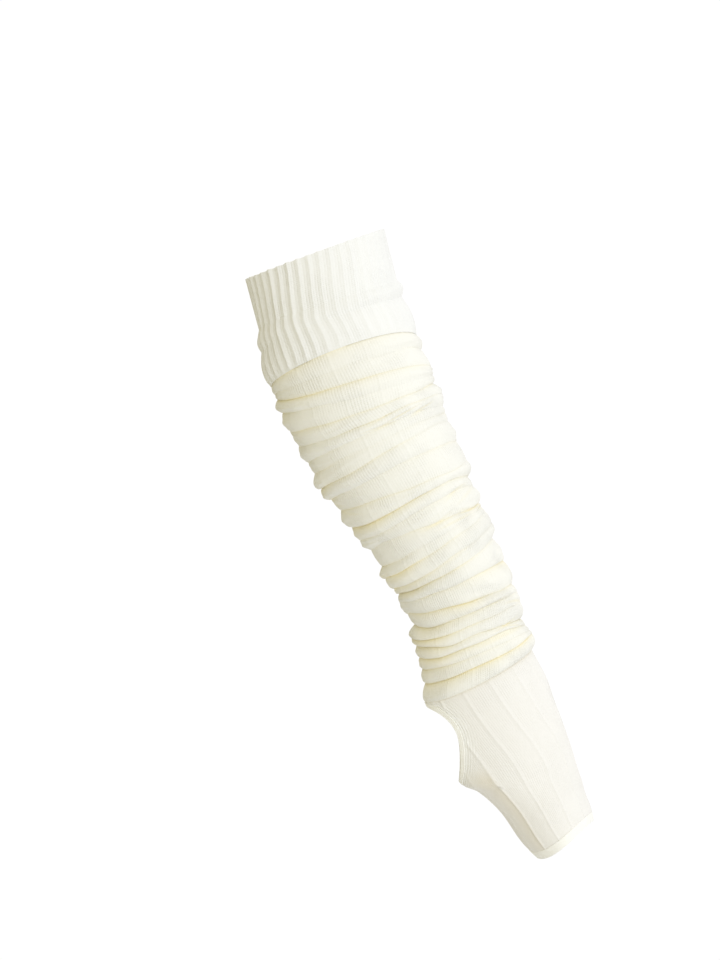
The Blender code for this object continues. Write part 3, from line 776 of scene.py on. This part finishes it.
band_across, band_out = strip_section(BAND_WIDTH, -CLOTH_THICKNESS, BAND_PROUD, BAND_CORNER)
on_top = band_out > BAND_PROUD - RIDGED_TOP
band_ridges = np.abs(np.sin(BAND_RIDGES * np.pi * band_across / BAND_WIDTH))
band_out = band_out + on_top * RIDGE_HEIGHT * band_ridges
band_turn = np.arange(BAND_POINTS) * 2.0 * np.pi / BAND_POINTS
band_places = [off_heel_loop(band_turn, across) for across in band_across]
band_rows = np.array([
    foot_points(place, angle, out + foot_swell(place, angle))
    for (place, angle), out in zip(band_places, band_out)
])
band_length = np.linalg.norm(band_rows[0] - np.roll(band_rows[0], 1, axis=0), axis=-1).sum()
band_courses = np.round(band_length / COURSE)
band_uv = np.stack(np.broadcast_arrays(
    (np.arange(len(band_rows)) * WALES_A_POINT)[:, None], band_turn / (2.0 * np.pi) * band_courses
), axis=-1).reshape(-1, 2)
heel_opening_band = cloth_mesh(
    "heel_opening_band", band_rows.reshape(-1, 3),
    grid_faces(*band_rows.shape[:2], closed_down=True)[:, ::-1], band_uv,
    (len(band_rows) * WALES_A_POINT, band_courses),
    crease=np.full(band_rows[..., 0].size, BAND_PAINTED_SHADE),
)
print("band: round the opening, mm", round(band_length))

# %% The plain hem at the toes
HEM_COLUMNS = 260
HEM_PROUD = 0.25
HEM_CORNER = 0.6
AT_THE_SEAM = 0.1

hem_angle = np.arange(HEM_COLUMNS) * 2.0 * np.pi / HEM_COLUMNS
hem_width = np.hypot(*(FOOT[-1, :2] - FOOT[-2, :2]))
hem_across, hem_out = strip_section(hem_width, -CLOTH_THICKNESS, HEM_PROUD, HEM_CORNER)
hem_rows = np.array([
    foot_points(HEM_ROW + across / hem_width, hem_angle, out, SEAM_GAP / 2.0 * (across < AT_THE_SEAM))
    for across, out in zip(hem_across, hem_out)
])
hem_uv = np.stack(np.broadcast_arrays(
    wales_at(hem_angle), (np.arange(len(hem_rows)) * WALES_A_POINT)[:, None]
), axis=-1).reshape(-1, 2)
plain_toe_hem = cloth_mesh(
    "plain_toe_hem", hem_rows.reshape(-1, 3), grid_faces(*hem_rows.shape[:2], closed_down=True),
    hem_uv, (WALES, len(hem_rows) * WALES_A_POINT), crease=np.zeros(hem_rows[..., 0].size),
)
print("hem: width, mm", round(hem_width, 1))

# %% [markdown]
# All five pieces look like one soft cream yarn, so they share one finish with different numbers, and
# the band and the hem are paler than the rest, which is painted light. Close up, plain knit is columns
# of small Vs. From a step away only the columns show, as fine upright lines. Cream cloth this pale
# sends light from fold to fold, and each bounce takes a little blue out of it, so the creases look
# warmer and yellower than the crests. That is painted as well: each finish has a second, warmer and
# darker colour, painted shade, mixed in by how much painted crease shade a point carries.

# %% Colours and one helper for nodes
def linear(hex_colour):
    """An sRGB hex colour as linear red, green, blue and 1: ((c + 0.055) / 1.055)^2.4 above 0.04."""
    srgb = np.array([int(hex_colour[place:place + 2], 16) for place in (1, 3, 5)]) / 255.0
    return (*np.where(srgb > 0.04045, ((srgb + 0.055) / 1.055) ** 2.4, srgb / 12.92).tolist(), 1.0)


def add_node(tree, kind, inputs=(), **settings):
    """Adds a node of a kind with its settings, and gives back its outputs. inputs is a list, in
    the order of the sockets, or a dict by their names or numbers, and each of them is a value or
    another node's output."""
    node = tree.nodes.new(kind)
    for key, value in settings.items():
        setattr(node, key, value)
    for key, value in inputs.items() if isinstance(inputs, dict) else enumerate(inputs):
        if isinstance(value, bpy.types.NodeSocket):
            tree.links.new(value, node.inputs[key])
        else:
            node.inputs[key].default_value = value
    return node.outputs


# %% [markdown]
# One stitch column is worked out from the UVs. With a the distance from the middle of its wale, 0
# there and 1 at its edge, the column is round, 1 - a^2, and the slanting arms of its Vs are a sine of
# V + a / 2. A fine noise in millimetres breaks the pattern up, as the hairs of the yarn do. Beside
# the heel opening fine ridges run along the band, less and less with the distance from it, and the
# cloth there is painted paler towards the band's colour, painted light that fades the same way.

# %% The knitted finish
KNIT_HEIGHT = 0.0005
PATCHES_A_METRE = 45.0
LUMPS_A_METRE = 160.0
HAIRS_A_METRE = 900.0
RIDGE_PITCH = 2.3
RIDGE_REACH = 6.0
RIDGE_DEPTH = 0.45
# The band's colour, paler than the cloth as painted light
BAND_PAINTED_LIGHT_COLOUR = "#FFFFFA"
STITCH_STEPS = [
    # result, operation, what it is worked out from
    ("fold", "PINGPONG", "wale", 0.5),
    ("from_middle", "MULTIPLY", "fold", 2.0),
    ("square", "MULTIPLY", "from_middle", "from_middle"),
    ("column", "SUBTRACT", 1.0, "square"),
    ("slant", "MULTIPLY_ADD", "from_middle", 0.5, "course"),
    ("turn", "MULTIPLY", "slant", 2.0 * np.pi),
    ("arms", "SINE", "turn"),
    ("shape", "MULTIPLY_ADD", "arms", 0.22, 0.78),
    ("stitch", "MULTIPLY", "column", "shape"),
    ("worn", "MULTIPLY", "stitch", "wear"),
    ("yarn", "MULTIPLY", "hairs", 0.25),
    ("rough", "MULTIPLY_ADD", "lumps", 0.9, "yarn"),
    ("knit", "MULTIPLY_ADD", "worn", "wale_depth", "rough"),
    ("from_rib", "PINGPONG", "wale", WALES_A_RIB / 2.0),
    ("share", "DIVIDE", "from_rib", WALES_A_RIB / 2.0),
]
RIB_STOPS = [(0.0, 1.0), (0.07, 0.85), (0.15, 0.0), (0.24, 0.3)]
RIDGE_STEPS = [
    ("spread", "MULTIPLY", "distance", 2.0 * np.pi / RIDGE_PITCH),
    ("waves", "COSINE", "spread"),
    ("away", "MULTIPLY", "distance", -1.0 / RIDGE_REACH),
    ("fading", "EXPONENT", "away"),
    ("ridges", "MULTIPLY", "waves", "fading"),
    ("height", "MULTIPLY_ADD", "ridges", -RIDGE_DEPTH, "height"),
]


def add_steps(tree, steps, known):
    """Adds a math node for each step. A name in a step stands for what known has under it, and
    the result is put there too."""
    for result, operation, *terms in steps:
        values = [known[term] if isinstance(term, str) else term for term in terms]
        known[result] = add_node(tree, "ShaderNodeMath", values, operation=operation)[0]


def knitted_cloth(name, crest, crease, wale_depth=0.5, rib_height=0.0, heel_ridges_and_painted_light=False):
    """Soft matt knit. Its second colour is painted shade, mixed in by how much painted crease shade a
    point carries, and where asked it adds ridges beside the heel opening and painted light that makes
    the cloth there paler. wale_depth is the height of the stitches and rib_height that of the raised
    columns that run down the tube, both as shares of half a millimetre."""
    material = bpy.data.materials.new(name)
    material.use_nodes = True
    tree = material.node_tree
    shader = tree.nodes["Principled BSDF"]
    position = add_node(tree, "ShaderNodeTexCoord")["Object"]
    stitches = add_node(tree, "ShaderNodeUVMap", uv_map="stitches")[0]
    wale, course, _ = add_node(tree, "ShaderNodeSeparateXYZ", [stitches])
    patches, hairs, lumps = (
        add_node(tree, "ShaderNodeTexNoise", {"Vector": position, "Scale": scale, "Detail": detail})[0]
        for scale, detail in [(PATCHES_A_METRE, 1.0), (HAIRS_A_METRE, 3.0), (LUMPS_A_METRE, 2.0)]
    )
    wear = add_node(tree, "ShaderNodeMapRange", [patches, 0.38, 0.62, 0.35, 1.2])[0]
    known = {
        "wale": wale, "course": course, "wale_depth": wale_depth,
        "hairs": hairs, "lumps": lumps, "wear": wear,
    }
    add_steps(tree, STITCH_STEPS, known)
    profile = add_node(tree, "ShaderNodeValToRGB", [known["share"]])[0]
    profile.node.color_ramp.interpolation = "EASE"
    while len(profile.node.color_ramp.elements) < len(RIB_STOPS):
        profile.node.color_ramp.elements.new(0.5)
    for element, (place, level) in zip(profile.node.color_ramp.elements, RIB_STOPS):
        element.position = place
        element.color = (level, level, level, 1.0)
    known["profile"] = profile
    add_steps(tree, [("height", "MULTIPLY_ADD", "profile", rib_height, "knit")], known)
    pale = linear(crest)
    if heel_ridges_and_painted_light:
        known["distance"] = add_node(tree, "ShaderNodeAttribute", attribute_name="from_heel")["Fac"]
        add_steps(tree, RIDGE_STEPS, known)
        # Painted light: beside the band the cloth is mixed towards the band's pale colour
        painted_light_by_band = {0: known["fading"], 6: pale, 7: linear(BAND_PAINTED_LIGHT_COLOUR)}
        pale = add_node(tree, "ShaderNodeMix", painted_light_by_band, data_type="RGBA")[2]
    relief = {"Strength": 1.0, "Distance": KNIT_HEIGHT, "Height": known["height"]}
    bump = add_node(tree, "ShaderNodeBump", relief)[0]
    # Painted shade: the crease attribute mixes the warmer, darker crease colour into the cloth
    depth = add_node(tree, "ShaderNodeAttribute", attribute_name="crease")["Fac"]
    mixed = add_node(tree, "ShaderNodeMix", {0: depth, 6: pale, 7: linear(crease)}, data_type="RGBA")[2]
    tree.links.new(mixed, shader.inputs["Base Color"])
    tree.links.new(bump, shader.inputs["Normal"])
    shader.inputs["Roughness"].default_value = 0.92
    shader.inputs["IOR"].default_value = 1.45
    shader.inputs["Specular IOR Level"].default_value = 0.25
    shader.inputs["Sheen Weight"].default_value = 0.15
    shader.inputs["Sheen Roughness"].default_value = 0.6
    return material


# %% The five finishes
# The second colour of each finish is its painted crease shade
leg_knit = knitted_cloth(
    "cream cotton plain knit", "#F4F3EB", "#F8EDC0", wale_depth=0.62, rib_height=0.42
)
cuff_knit = knitted_cloth("cream cotton rib knit", "#F2F2EE", "#F1E6C4", wale_depth=0.4)
foot_knit = knitted_cloth(
    "cream cotton fine knit", "#F3F1EB", "#DFD6BE", wale_depth=0.3, rib_height=0.25, heel_ridges_and_painted_light=True
)
band_knit = knitted_cloth("cream cotton edging", BAND_PAINTED_LIGHT_COLOUR, "#F1E8CC", wale_depth=0.15)
# The hem's first colour is paler than the cloth as painted light
hem_knit = knitted_cloth("cream cotton turned hem", "#FDFCF5", "#F1E8CC", wale_depth=0.25)

PIECES = [
    # piece, solid, slot, finish, held, cut in metres: round and down, what it rests on
    (ribbed_cuff, "top_cuff", "cuff_rib_knit", cuff_knit, "stretched", (0.30, 0.095), []),
    (gathered_leg, "leg_tube", "leg_knit", leg_knit, "gathered", (0.30, 0.33),
     ["ribbed_cuff", "smooth_foot"]),
    (smooth_foot, "foot_tube", "foot_knit", foot_knit, "stretched", (0.24, 0.13), ["gathered_leg"]),
    (heel_opening_band, "heel_band", "band_knit", band_knit, "stretched", (0.15, 0.010),
     ["smooth_foot"]),
    (plain_toe_hem, "toe_hem", "hem_knit", hem_knit, "stretched", (0.22, 0.010), ["smooth_foot"]),
]
for piece, solid, slot, finish, held, cut, rests_on in PIECES:
    piece.data.materials.append(finish)
    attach(piece, "root")
    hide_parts(solid)

# %% [markdown]
# The photograph is bright and soft: white all round, with only the back and the underside in a
# little shade. So the studio is a white sky that is dimmer and yellower towards the back and from
# below. One large softbox, slightly cool, stands nearly square to the side, a little to the front,
# and adds the direction. The camera is square to the side, and its long lens keeps the lines parallel.

# %% Studio light
SHADE_WAY = (-0.95, -0.18, -0.25)
SHADE_COLOUR = "#ACA270"
FULL_SHADE = 0.8
SKY_STRENGTH = 1.03
SOFTBOX_WATTS = 7.5
SOFTBOX_COLOUR = (0.94, 0.97, 1.0)
SOFTBOX_PLACE = (0.35, -1.9, 0.1)
SOFTBOX_TARGET = (0.05, 0.0, -0.2)

world = bpy.data.worlds.new("white studio")
bpy.context.scene.world = world
world.use_nodes = True
sky = world.node_tree
way = add_node(sky, "ShaderNodeTexCoord")["Generated"]
towards_shade = add_node(sky, "ShaderNodeVectorMath", [way, SHADE_WAY], operation="DOT_PRODUCT")["Value"]
shade_range = [towards_shade, 0.0, FULL_SHADE, 1.0, 0.0]
light_left = add_node(sky, "ShaderNodeMapRange", shade_range, interpolation_type="SMOOTHSTEP")[0]
sky_colours = {0: light_left, 6: linear(SHADE_COLOUR), 7: linear("#FFFFFF")}
tinted = add_node(sky, "ShaderNodeMix", sky_colours, data_type="RGBA")[2]
sky.links.new(tinted, sky.nodes["Background"].inputs["Color"])
sky.nodes["Background"].inputs["Strength"].default_value = SKY_STRENGTH


def aimed(name, data, place, target):
    """An object at a place with its -Z side towards a target."""
    way = np.array(target) - np.array(place)
    tilt = np.arctan2(np.hypot(way[0], way[1]), -way[2])
    heading = np.arctan2(way[1], way[0]) - np.pi / 2.0
    obj = bpy.data.objects.new(name, data)
    obj.location = place
    obj.rotation_euler = (tilt, 0.0, heading)
    bpy.context.scene.collection.objects.link(obj)
    return obj


softbox = bpy.data.lights.new("softbox", "AREA")
softbox.shape = "DISK"
softbox.size = 1.0
softbox.energy = SOFTBOX_WATTS
softbox.color = SOFTBOX_COLOUR
aimed("softbox", softbox, SOFTBOX_PLACE, SOFTBOX_TARGET)

# %% Floor
FLOOR_HEIGHT = -0.62
FLOOR_RADIUS = 1.0
FLOOR_SIDES = 96

floor_mesh = bpy.data.meshes.new("floor")
floor_turn = np.arange(FLOOR_SIDES) * 2.0 * np.pi / FLOOR_SIDES
floor_mesh.from_pydata(np.stack([
    FLOOR_RADIUS * np.cos(floor_turn), FLOOR_RADIUS * np.sin(floor_turn),
    np.full(FLOOR_SIDES, FLOOR_HEIGHT),
], axis=-1).tolist(), [], [list(range(FLOOR_SIDES))])
floor = bpy.data.objects.new("floor", floor_mesh)
bpy.context.scene.collection.objects.link(floor)
floor_paint = bpy.data.materials.new("white floor paint")
floor_paint.use_nodes = True
floor_shader = floor_paint.node_tree.nodes["Principled BSDF"]
floor_shader.inputs["Base Color"].default_value = linear("#E6E6E6")
floor_shader.inputs["Roughness"].default_value = 0.9
floor_mesh.materials.append(floor_paint)

# %% Camera
MIDDLE = (0.0349, 0.0, -0.1763)
VIEW_HEIGHT = 0.7488
CAMERA_DISTANCE = 6.0

lens = bpy.data.cameras.new("camera")
lens.sensor_fit = "VERTICAL"
lens.sensor_height = 24.0
lens.lens = lens.sensor_height * CAMERA_DISTANCE / VIEW_HEIGHT
lens.clip_end = 50.0
bpy.context.scene.camera = aimed("camera", lens, (MIDDLE[0], -CAMERA_DISTANCE, MIDDLE[2]), MIDDLE)
bpy.context.scene.view_settings.view_transform = "Standard"
